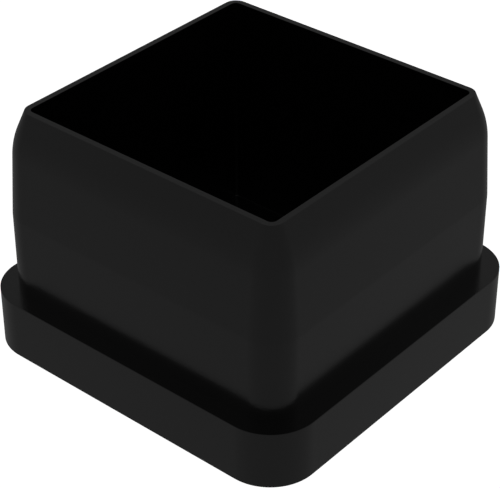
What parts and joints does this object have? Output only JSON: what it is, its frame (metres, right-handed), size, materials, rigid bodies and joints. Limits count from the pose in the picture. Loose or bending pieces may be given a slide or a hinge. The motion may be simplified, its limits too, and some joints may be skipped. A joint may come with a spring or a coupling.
{
  "type": "tube end cap",
  "caption": "Square tube end cap moulded in one piece: a thick head with rounded corners, and a hollow tapered plug with a thin rim that presses into the tube's mouth.",
  "frame": {"origin": "middle of the head's flat outer face, which is the face the cap stands on", "axes": "+Z along the plug, from the head towards the rim; X and Y square to the cap's four equal sides"},
  "size_m": [0.03, 0.03, 0.0202],
  "materials": {
    "cap_plastic": "black moulded plastic with a soft satin sheen"
  },
  "bodies": {
    "root": {"tube_end_cap": "cap_plastic"}
  },
  "joints": []
}
